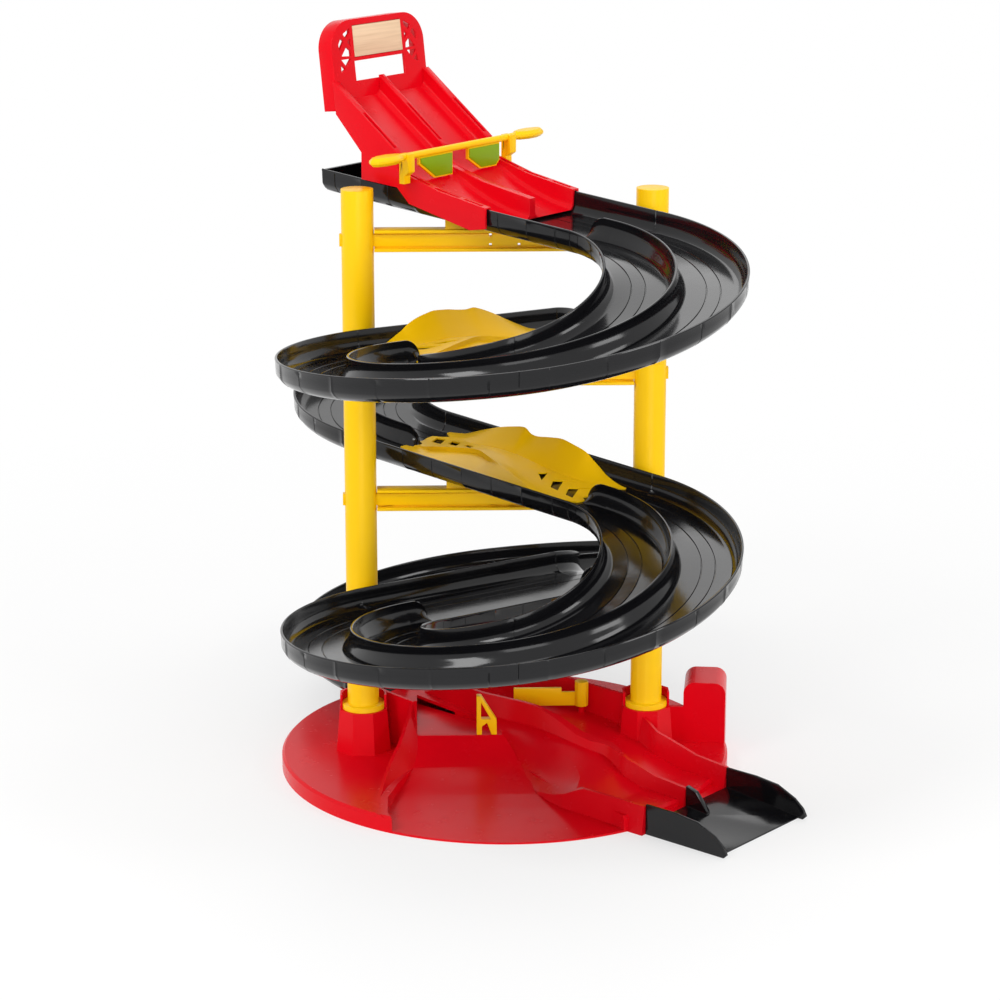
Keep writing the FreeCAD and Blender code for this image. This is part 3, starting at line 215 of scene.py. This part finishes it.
def sweep_mesh(name, stations):
    """Closed mesh through rings of points in millimetres."""
    count = len(stations[0])
    verts = [point * MM for ring in stations for point in ring]
    faces = []
    for row in range(len(stations) - 1):
        here, ahead = row * count, (row + 1) * count
        for i in range(count):
            after = (i + 1) % count
            faces.append((here + i, here + after, ahead + after, ahead + i))
    last = (len(stations) - 1) * count
    faces.append(tuple(range(count))[::-1])
    faces.append(tuple(range(last, last + count)))
    return closed_mesh(name, verts, faces)


def smooth_by_angle(item, degrees):
    for polygon in item.data.polygons:
        polygon.use_smooth = True
    item.data.set_sharp_from_angle(angle=math.radians(degrees))


# Path of the track

def smooth_step(value):
    value = min(max(value, 0.0), 1.0)
    return value * value * (3 - 2 * value)


def smooth_curve(first, last, first_slope, last_slope, length, t):
    """Cubic from first to last over a length, with a slope at each end, at the share t."""
    return (first * (2 * t ** 3 - 3 * t ** 2 + 1) + first_slope * length * (t ** 3 - 2 * t ** 2 + t)
            + last * (3 * t ** 2 - 2 * t ** 3) + last_slope * length * (t ** 3 - t ** 2))


def crossing_height(number):
    straight = 2 * STRAIGHT_SLOPE * TANGENT
    front = sum(LOBE_DROPS["front"]) + straight
    rear = sum(LOBE_DROPS["rear"]) + straight
    return TOP_CROSSING - (number + 1) // 2 * front - number // 2 * rear


def straight_station(number, along):
    """Middle of the section at the wall tops, and the left-hand direction, on straight number 0 to 3."""
    turn = 1 if number % 2 else -1
    point = Vector((along * math.cos(CROSSING_ANGLE), turn * along * math.sin(CROSSING_ANGLE),
                    crossing_height(number) - STRAIGHT_SLOPE * along))
    return point, Vector((-turn * math.sin(CROSSING_ANGLE), math.cos(CROSSING_ANGLE), 0))


def lobe_station(number, second, share):
    """The same on a half lobe after that straight, from its start (0) to its end (1)."""
    side = "rear" if number % 2 else "front"
    drops = LOBE_DROPS[side]
    begin = crossing_height(number) - STRAIGHT_SLOPE * TANGENT - (drops[0] if second else 0)
    drop = drops[1] if second else drops[0]
    slopes = (STRAIGHT_SLOPE, MIDDLE_SLOPE[side])
    first_slope, last_slope = slopes[::-1] if second else slopes
    height = smooth_curve(begin, begin - drop, -first_slope, -last_slope, LOBE_LENGTH, share)
    turned = LOBE_SWEEP * (share - 1) + (LOBE_SWEEP if second else 0)
    rear = side == "rear"
    angle = math.pi / 2 + turned if rear else -math.pi / 2 - turned
    outward = Vector((math.cos(angle), math.sin(angle), 0))
    point = Vector((0, LOBE_CENTRE if rear else -LOBE_CENTRE, height)) + outward * LOBE_RADIUS
    return point, -outward if rear else outward


# Track pieces with moulded lane grooves, panel seams and rounded wall tops. The tables of the section
# give (inset, below the wall top). WALL_TOP counts from either face of the wall, OUTER_SKIN from the
# outer skin, and UNDER_LIP from the lip, which lies at a share of the half width.

WALL_TOP = ((0.9, 0.0), (0.3, 0.25), (0.0, 0.9))
OUTER_SKIN = ((0.3, 2.2), (0.4, 6.0), (0.7, 11.0), (1.5, 12.4), (3.4, 14.9), (6.2, 17.1), (9.2, 18.3))
UNDER_LIP = ((-0.5, 18.95), (0.0, 18.9), (0.6, LANE_DEPTH + TRACK_WALL))
LIP_SHARE = 0.78
COVE_HIGH = 9.0
COVE_WIDE = 8.0
COVE_STEPS = 7
COVE_INSET = 0.05
GROOVE_PLACES = (31.5, 21.5)
GROOVE_HALF = 0.55
GROOVE_BOTTOM = 0.4 * GROOVE_HALF
GROOVE_DEPTH = 0.7
DIVIDER_HALF = 1.0
DIVIDER_TOP_HALF = 0.45
DIVIDER_SHOULDER = 0.4
DIVIDER_STEPS = 8
# Width that the divider gains towards its foot, its curve, and how fast it goes towards the top
FLARE_WIDE = 6.0
FLARE_POWER = 2.2
FLARE_PACE = 1.02
SEAM_SPACING = 28.0
SEAM_HALF = 0.45
SEAM_BOTTOM = 0.35 * SEAM_HALF
SEAM_DEPTH = 0.45
SEAM_CLEARANCE = 1.2
RIB_HEIGHT = 0.25
NOSE_LENGTH = 14.0
NOSE_STEPS = 8
# Distance from a piece's end at which the divider stops short of a crossing
NOSE_FOOT = 22.0
# The same distance from a piece's end before a lane changer
CHANGER_NOSE_FOOT = 17.0
LOBE_STEPS = 64
STRAIGHT_STEPS = 8
# Length over which the ends of a piece are drawn in, and the share of the width that is left there
JOINT_LENGTH = 0.35
JOINT_SHARE = 0.992
# Least distances of a further section from the ends of a piece and from the other sections
END_CLEARANCE = 0.5
MARK_CLEARANCE = 0.2
TRACK_SMOOTHING = 32
# End wall of the uppermost track: (in from the track's side, below the wall top), and its place
START_WALL = ((2.2, 0.6), (2.4, 9.0), (10.0, LANE_DEPTH + 0.6))
START_WALL_INSET = 0.1


def track_outline(rise, sunk):
    """Section across the lanes as (left, below the wall top); sunk moves the outer skin inwards."""
    skin = SHELL_HALF - sunk
    lip = SHELL_HALF * LIP_SHARE
    outside = [(face - inset, down)
               for face, table in ((SHELL_HALF, WALL_TOP), (skin, OUTER_SKIN), (lip, UNDER_LIP))
               for inset, down in table]
    inner = SHELL_HALF - TRACK_WALL
    inside = [(inner + inset, down) for inset, down in WALL_TOP]
    for step in range(COVE_STEPS + 1):
        turn = 0.5 * math.pi * step / COVE_STEPS
        inside.append((inner - COVE_WIDE * (1 - math.cos(turn)) - COVE_INSET,
                       LANE_DEPTH - COVE_HIGH + COVE_HIGH * math.sin(turn)))
    floor = []
    for place in GROOVE_PLACES:
        floor += [(place + GROOVE_HALF, LANE_DEPTH), (place + GROOVE_BOTTOM, LANE_DEPTH + GROOVE_DEPTH),
                  (place - GROOVE_BOTTOM, LANE_DEPTH + GROOVE_DEPTH), (place - GROOVE_HALF, LANE_DEPTH)]
    ridge = []
    for step in range(DIVIDER_STEPS + 1):
        share = step / DIVIDER_STEPS
        width = DIVIDER_HALF + FLARE_WIDE * (1 - smooth_step(share * FLARE_PACE)) ** FLARE_POWER
        ridge.append((width, LANE_DEPTH - (LANE_DEPTH - DIVIDER_SHOULDER) * rise * share))
    ridge.append((DIVIDER_TOP_HALF, LANE_DEPTH - LANE_DEPTH * rise))
    left = inside + floor + ridge
    right = [(-y, z) for y, z in left[::-1]]
    bottom = [(-y, z) for y, z in outside]
    return left + right + bottom + outside[::-1]


def seam_places(length):
    """Distances of the panel seams along a piece, away from its ends."""
    count = max(1, round(length / SEAM_SPACING))
    return [length * (n + 0.5) / count for n in range(count)]


def nose_rise(distance, foot):
    """Share of the divider's height at a distance from a piece's end; it stops at foot with a round nose."""
    inset = (distance - foot + NOSE_LENGTH) / NOSE_LENGTH
    return math.sqrt(1 - min(max(inset, 0.0), 1.0) ** 2)


def nose_marks(foot):
    """Distances from a piece's end that follow the rounded nose."""
    turns = [0.5 * math.pi * step / NOSE_STEPS for step in range(NOSE_STEPS + 1)]
    return [foot - NOSE_LENGTH * (1 - math.sin(turn)) for turn in turns]


def track_marks(length, steps, extra):
    """Distances of a piece's sections, each with how far its outer skin is sunk."""
    marks = {0.0: 0.0, JOINT_LENGTH: 0.0, length - JOINT_LENGTH: 0.0, length: 0.0}
    for step in range(1, steps):
        marks[length * step / steps] = 0.0
    for number, seam in enumerate(seam_places(length)):
        depth = -RIB_HEIGHT if number % 2 else SEAM_DEPTH
        marks = {at: sunk for at, sunk in marks.items()
                 if abs(at - seam) > SEAM_CLEARANCE or at in (0.0, length)}
        for shift, sunk in ((-SEAM_HALF, 0.0), (-SEAM_BOTTOM, depth), (SEAM_BOTTOM, depth), (SEAM_HALF, 0.0)):
            marks[seam + shift] = sunk
    for at in extra:
        if (END_CLEARANCE < at < length - END_CLEARANCE
                and min(abs(at - other) for other in marks) > MARK_CLEARANCE):
            marks[at] = 0.0
    return marks


def track_piece(node, station, length, rise_of, steps, extra=()):
    """Detailed piece in place of a node of the frame; its ends are slightly drawn in as joints."""
    marks = track_marks(length, steps, extra)
    rings = []
    for at in sorted(marks):
        point, left = station(at / length)
        drawn_in = JOINT_SHARE if at in (0.0, length) else 1.0
        rings.append([point + left * y * drawn_in - Vector((0, 0, z))
                      for y, z in track_outline(rise_of(at), marks[at])])
    item = sweep_mesh("track_" + node, rings)
    smooth_by_angle(item, TRACK_SMOOTHING)
    dress(item, "black_plastic")
    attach(item, "tower")
    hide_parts(node)


def build_track():
    for level, first in (("upper", 0), ("lower", 2)):
        for number, side in ((first, "front"), (first + 1, "rear")):
            for second, name in ((False, "right"), (True, "left")):
                track_piece("%s_%s_curve_%s" % (side, name, level),
                            lambda share, n=number, s=second: lobe_station(n, s, share), LOBE_LENGTH,
                            lambda at: 1.0, LOBE_STEPS)
    length = 2 * TANGENT
    after_marks = [length - at for at in nose_marks(NOSE_FOOT)]
    for number, name, before in ((1, "upper_cross_track", CHANGER_NOSE_FOOT),
                                 (2, "middle_cross_track", CHANGER_NOSE_FOOT),
                                 (3, "lower_cross_track", NOSE_FOOT)):
        track_piece(name, lambda share, n=number: straight_station(n, TANGENT * (2 * share - 1)), length,
                    lambda at, b=before: max(nose_rise(at, b), nose_rise(length - at, NOSE_FOOT)),
                    STRAIGHT_STEPS, nose_marks(before) + after_marks)
    start = START_TAIL + TANGENT
    track_piece("start_track", lambda share: straight_station(0, -START_TAIL + start * share), start,
                lambda at: nose_rise(start - at, NOSE_FOOT), STRAIGHT_STEPS,
                [start - at for at in nose_marks(NOSE_FOOT)])


def build_start_wall():
    """End wall that closes the uppermost track."""
    shape = [(TRACK_HALF - inset, down) for inset, down in START_WALL]
    shape = shape + [(-y, z) for y, z in shape[::-1]]
    rings = []
    for along in (-START_TAIL + START_WALL_INSET, -START_TAIL + TRACK_WALL):
        point, across = straight_station(0, along)
        rings.append([point + across * y - Vector((0, 0, z)) for y, z in shape])
    item = sweep_mesh("start_track_wall", rings)
    dress(item, "black_plastic")
    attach(item, "tower")


# Lane changers: thin moulded bridges with slots. Places are (along, across) on their straight, and
# heights are over the lane floor.

CHANGER_SKIN = 1.2
CHANGER_LIFT = 0.15
CHANGER_START = -106.0
CHANGER_LENGTH = 192.0
CHANGER_STEPS = 128
CHANGER_SMOOTHING = 24
# The step under the near edge: its height, and where it ends and over what length it fades
CHANGER_DROP = 3.2
CHANGER_DROP_END = 5.0
CHANGER_DROP_FADE = 20
# The near side: width and height of its foot, and its height as a share of the edge's where it has no slope
NEAR_WIDE = 1.5
NEAR_HIGH = 0.8
NEAR_SHARE = 0.92
# Widths and falls beside the near edge, and places across of the valley, the hollow and the wing's foot
EDGE_WIDE = 0.9
EDGE_FALL = 0.3
SHOULDER_WIDE = 10
SHOULDER_SHARE = 0.6
VALLEY_PLACE = 20
HOLLOW_PLACE = 31
WING_PLACE = 40
WING_SHARE = 0.45
# Steps between two marks of the section
SECTION_SPLITS = 4
# Along, near edge's place and height, valley, hollow by the wing, share of the near side's slope
CHANGER_ROWS = (
    (-107, -5, 1.3, 1.2, 1.2, 0.1), (-86, -4, 3.0, 2.2, 1.8, 0.35), (-66, -3, 7.0, 4.8, 3.8, 0.8),
    (-45, -1, 11.0, 7.6, 5.6, 1), (-27, 0, 13.2, 9.0, 6.8, 1), (-14, -4, 12.6, 8.4, 6.4, 1),
    (4, -11, 11.4, 6.0, 4.4, 1), (18, -16, 10.4, 3.2, 2.6, 1), (41, -25, 8.2, 1.8, 1.5, 1),
    (62, -34, 4.5, 1.3, 1.2, 1), (88, -40, 1.2, 1.2, 1.2, 1),
)
# Height of the wing along the far wall
CHANGER_WINGS = {
    "lane_changer_upper": ((-107, 1.2), (-83, 3.6), (-62.6, 11.9), (-56, 16.4), (-48, 20.3), (-38, 23.3),
                           (-27, 25.3), (-15, 25.0), (-5, 24.0), (4.8, 23.4), (12.8, 24.3), (19, 23.0),
                           (33.5, 18.2), (46.5, 12.7), (59, 7.7), (72, 3.0), (88, 1.2)),
    "lane_changer_lower": ((-107, 1.2), (-83, 3.6), (-66, 9.9), (-48, 16.6), (-35, 20.3), (-21, 23.0),
                           (-14, 19.2), (-10, 18.7), (3, 20.8), (17, 22.7), (28, 21.0), (40, 18.3),
                           (49, 12.7), (63, 4.8), (83, 1.2), (88, 1.2)),
}
# Distance from the wall that keeps clear of the track's cove, by height
CHANGER_COVE = ((0, 8.3), (1.3, 4.9), (6.0, 1.4), (9.0, 0.7), (30, 0.7))
# Outline from above, and the slots in it
CHANGER_PLAN = (
    (-97, -13), (-96.5, -6), (-104, -5), (-98.8, 3.4), (-94.8, 11.1), (-98.3, 20.7), (-99, 27.4),
    (-91.5, 32.1), (-86.8, 35.2), (-96.3, 42), (-95.5, 53), (84, 53), (83.9, 42.4), (80.8, 39.8),
    (74.3, 37), (73.7, 24.6), (77.9, 13), (75.7, 1.7), (81.7, -3.5), (79.6, -10.7), (73.7, -15.1),
    (72.3, -20), (66, -30), (58, -40), (50, -48), (-62, -48), (-92, -24),
)
CHANGER_HOLES = (
    ((-88, 14), (-92.8, 26), (-85, 27.5), (-75.5, 10.8)),
    ((-70, 13.5), (-77, 26), (-67, 25), (-56.5, 7.5)),
    ((-51.8, 11), (-56, 20.5), (-45.5, 16.5), (-38.5, 3.2)),
    ((20.5, 15), (22.5, 25), (36, 1)),
    ((49, -4.5), (38, 12.3), (41.7, 19), (48.2, 26.8), (49, 26.3), (43.4, 18), (56.5, -4.8)),
    ((65.5, -6.5), (56, 9), (60.2, 15), (69.6, 25.6), (70.4, 25), (62, 14), (72.8, -7)),
)
# Heights between which the plan and the holes are cut
CUT_HEIGHTS = (-20.0, 60.0)


def straight_between(table, at):
    """Value of a table of (place, value) pairs, with straight lines between its rows."""
    at = min(max(at, table[0][0]), table[-1][0])
    for (low, first), (high, last) in zip(table, table[1:]):
        if at <= high:
            return first + (last - first) * (at - low) / (high - low)


def smooth_between(table, at):
    """The same with a smooth line that doesn't swing past the rows."""
    slopes = [(last - first) / (high - low) for (low, first), (high, last) in zip(table, table[1:])]
    ends = [0.0] + [2 * a * b / (a + b) if a * b > 0 else 0.0 for a, b in zip(slopes, slopes[1:])] + [0.0]
    at = min(max(at, table[0][0]), table[-1][0])
    for row, ((low, first), (high, last)) in enumerate(zip(table, table[1:])):
        if at <= high:
            span = high - low
            return smooth_curve(first, last, ends[row], ends[row + 1], span, (at - low) / span)


def changer_section(along, wings):
    """Closed outline of the shell across the lanes as (left, height over the lane floor)."""
    edge, edge_high, valley, hollow, ramp = [
        smooth_between([(row[0], row[column]) for row in CHANGER_ROWS], along) for column in range(1, 6)]
    wing = smooth_between(wings, along)
    inner = SHELL_HALF - TRACK_WALL
    foot = inner - straight_between(CHANGER_COVE, 0.0)
    near = edge - NEAR_WIDE + (NEAR_WIDE - edge - foot) * ramp
    near_high = NEAR_HIGH + (NEAR_SHARE * edge_high - NEAR_HIGH) * (1 - ramp)
    far = inner - straight_between(CHANGER_COVE, wing)
    fade = smooth_step((CHANGER_DROP_END - along) / CHANGER_DROP_FADE)
    drop = min(CHANGER_DROP, edge_high - CHANGER_SKIN) * fade
    marks = [(near, near_high), (edge - EDGE_WIDE, max(edge_high - drop - EDGE_FALL, near_high)),
             (edge, edge_high),
             (edge + SHOULDER_WIDE, SHOULDER_SHARE * edge_high + (1 - SHOULDER_SHARE) * valley),
             (VALLEY_PLACE, valley), (HOLLOW_PLACE, hollow),
             (WING_PLACE, hollow + WING_SHARE * (wing - hollow)), (far, wing)]
    top = []
    for (low, first), (high, last) in zip(marks, marks[1:]):
        top += [(low + (high - low) * step / SECTION_SPLITS, first + (last - first) * step / SECTION_SPLITS)
                for step in range(SECTION_SPLITS)]
    top.append(marks[-1])
    under = [(max(across, near + CHANGER_SKIN), max(height - CHANGER_SKIN, CHANGER_LIFT))
             for across, height in top[::-1]]
    return [(near, CHANGER_LIFT)] + top + under + [(near + CHANGER_SKIN, CHANGER_LIFT)]


def prisms(name, number, plans):
    """Upright prisms over outlines on a straight, to cut with."""
    verts, faces = [], []
    for plan in plans:
        first, count = len(verts), len(plan)
        for lift in CUT_HEIGHTS:
            for along, across in plan:
                point, left = straight_station(number, along)
                verts.append((point + left * across + Vector((0, 0, lift - LANE_DEPTH))) * MM)
        faces.append(tuple(range(first, first + count)))
        faces.append(tuple(range(first + count, first + 2 * count))[::-1])
        for i in range(count):
            after = (i + 1) % count
            faces.append((first + after, first + i, first + count + i, first + count + after))
    return closed_mesh(name, verts, faces)


def build_changer(node, number):
    rings = []
    for step in range(CHANGER_STEPS + 1):
        along = CHANGER_START + CHANGER_LENGTH * step / CHANGER_STEPS
        point, left = straight_station(number, along)
        rings.append([point + left * across + Vector((0, 0, height - LANE_DEPTH))
                      for across, height in changer_section(along, CHANGER_WINGS[node])])
    item = sweep_mesh("bridge_" + node, rings)
    cutters = []
    for operation, plans in (("INTERSECT", (CHANGER_PLAN,)), ("DIFFERENCE", CHANGER_HOLES)):
        cutter = prisms("cutter_" + operation.lower(), number, plans)
        cut = item.modifiers.new(operation.lower(), "BOOLEAN")
        cut.operation = operation
        cut.solver = "EXACT"
        cut.object = cutter
        cutters.append(cutter)
    bpy.context.view_layer.update()
    shape = bpy.data.meshes.new_from_object(item.evaluated_get(bpy.context.evaluated_depsgraph_get()))
    item.modifiers.clear()
    item.data = shape
    for cutter in cutters:
        bpy.data.objects.remove(cutter)
    smooth_by_angle(item, CHANGER_SMOOTHING)
    dress(item, "yellow_plastic")
    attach(item, "tower")
    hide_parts(node)


build_track()
build_start_wall()
build_changer("lane_changer_upper", 1)
build_changer("lane_changer_lower", 2)


# Carried-over nodes

PLAIN_ROUNDING = 0.5
NODE_ROUNDING = {
    "base": 1.2, "launch_ramp": 0.7, "sign_frame": 1.0, "sign_board": 0.4,
    "bar_clip_left": 0.4, "bar_clip_right": 0.4, "release_bar": 0.4,
    "gate_face_left": 0.15, "gate_face_right": 0.15,
}
slots = {entry["node"]: entry["material_slot"] for entry in frame["record"]["subparts"]}
for name, item in nodes.items():
    dress(item, slots[name])
    soften_node(item, NODE_ROUNDING.get(name, PLAIN_ROUNDING), name == "base")


# Studio

# Name, place, target, side and power of each square softbox
LIGHTS = (
    ("key", (-1.3, -1.3, 1.7), (0, 0, 0.25), 0.8, 19.0),
    ("fill", (1.7, -1.2, 1.3), (0, 0, 0.25), 0.8, 13.0),
    ("front", (0.1, -2.6, 0.7), (0, 0, 0.3), 1.2, 13.0),
    ("back", (0.2, 2.0, 2.4), (0, 0, 0.25), 1.8, 13.0),
)
# Strength of the room where it lights, and where it is seen
ROOM_STRENGTH = (0.72, 1.0)
FLOOR_REACH = 30.0
FLOOR_GREY = 0.92
# Distances from the middle between which the glow of the seen floor grows, its shares there, and the
# radius under the hollow base within which the floor doesn't glow
GLOW_DISTANCES = (0.35, 1.1)
GLOW_SHARES = (0.6, 1.0)
BASE_SHADE = 0.168
# The camera that fits the photo: place in millimetres, degrees down and to the right, focal length and
# width of the picture in pixels
CAMERA_PLACE = (-67.11, -2312.07, 876.1)
CAMERA_DOWN = 15.98
CAMERA_RIGHT = 1.57
CAMERA_FOCAL = 3118.78
PICTURE_WIDTH = 1000.0
SENSOR_WIDTH = 36.0
CLIP_END = 100.0


def area_light(name, place, target, size, power):
    data = bpy.data.lights.new(name, "AREA")
    data.shape = "RECTANGLE"
    data.size = size
    data.size_y = size
    data.energy = power
    item = link_object(name, data)
    item.location = place
    item.rotation_euler = (Vector(target) - item.location).to_track_quat("-Z", "Y").to_euler()


def join_sights(owner):
    """Node that gives one for a ray from the camera, a mirror or a clear body, and zero for the rest."""
    seen = add_node(owner, "ShaderNodeLightPath")
    either, output = seen, "Is Camera Ray"
    for name in ("Is Glossy Ray", "Is Transmission Ray"):
        node = add_node(owner, "ShaderNodeMath", operation="MAXIMUM")
        link(owner, either, output, node, 0)
        link(owner, seen, name, node, 1)
        either, output = node, "Value"
    return either


def build_floor():
    """White floor that takes shadows and reflections, and glows where it is seen."""
    mesh = bpy.data.meshes.new("floor")
    corners = [(-1, -1), (1, -1), (1, 1), (-1, 1)]
    mesh.from_pydata([(x * FLOOR_REACH, y * FLOOR_REACH, 0) for x, y in corners], [], [(0, 1, 2, 3)])
    item = link_object("floor", mesh)
    material = new_material("floor", (FLOOR_GREY, FLOOR_GREY, FLOOR_GREY), 0.9, 0.0)
    shader = material.node_tree.nodes["Principled BSDF"]
    any_sight = join_sights(material)
    place = add_node(material, "ShaderNodeNewGeometry")
    far = add_node(material, "ShaderNodeVectorMath", operation="LENGTH")
    link(material, place, "Position", far, 0)
    grow = add_map_range(material, GLOW_DISTANCES, GLOW_SHARES)
    link(material, far, "Value", grow, "Value")
    outside = add_node(material, "ShaderNodeMath", operation="GREATER_THAN")
    outside.inputs[1].default_value = BASE_SHADE
    link(material, far, "Value", outside, 0)
    beyond = add_node(material, "ShaderNodeMath", operation="MULTIPLY")
    link(material, grow, "Result", beyond, 0)
    link(material, outside, "Value", beyond, 1)
    share = add_node(material, "ShaderNodeMath", operation="MULTIPLY")
    link(material, any_sight, "Value", share, 0)
    link(material, beyond, "Value", share, 1)
    glow = add_node(material, "ShaderNodeEmission")
    mix = add_node(material, "ShaderNodeMixShader")
    link(material, share, "Value", mix, 0)
    link(material, shader, "BSDF", mix, 1)
    link(material, glow, "Emission", mix, 2)
    link(material, mix, "Shader", material.node_tree.nodes["Material Output"], "Surface")
    item.data.materials.append(material)


def build_lights():
    """A plain room that shows white, and softboxes that give the crisp highlights."""
    world = bpy.data.worlds.new("studio")
    bpy.context.scene.world = world
    world.use_nodes = True
    background = world.node_tree.nodes["Background"]
    background.inputs["Color"].default_value = (1, 1, 1, 1)
    any_sight = join_sights(world)
    strength = add_map_range(world, (0.0, 1.0), ROOM_STRENGTH)
    link(world, any_sight, "Value", strength, "Value")
    link(world, strength, "Result", background, "Strength")
    for light in LIGHTS:
        area_light(*light)


def build_camera():
    data = bpy.data.cameras.new("camera")
    data.sensor_fit = "HORIZONTAL"
    data.sensor_width = SENSOR_WIDTH
    data.lens = SENSOR_WIDTH * CAMERA_FOCAL / PICTURE_WIDTH
    data.clip_end = CLIP_END
    item = link_object("camera", data)
    item.location = Vector(CAMERA_PLACE) * MM
    item.rotation_euler = (math.radians(90 - CAMERA_DOWN), 0, -math.radians(CAMERA_RIGHT))
    bpy.context.scene.camera = item


build_floor()
build_lights()
build_camera()
bpy.context.scene.view_settings.view_transform = "Standard"
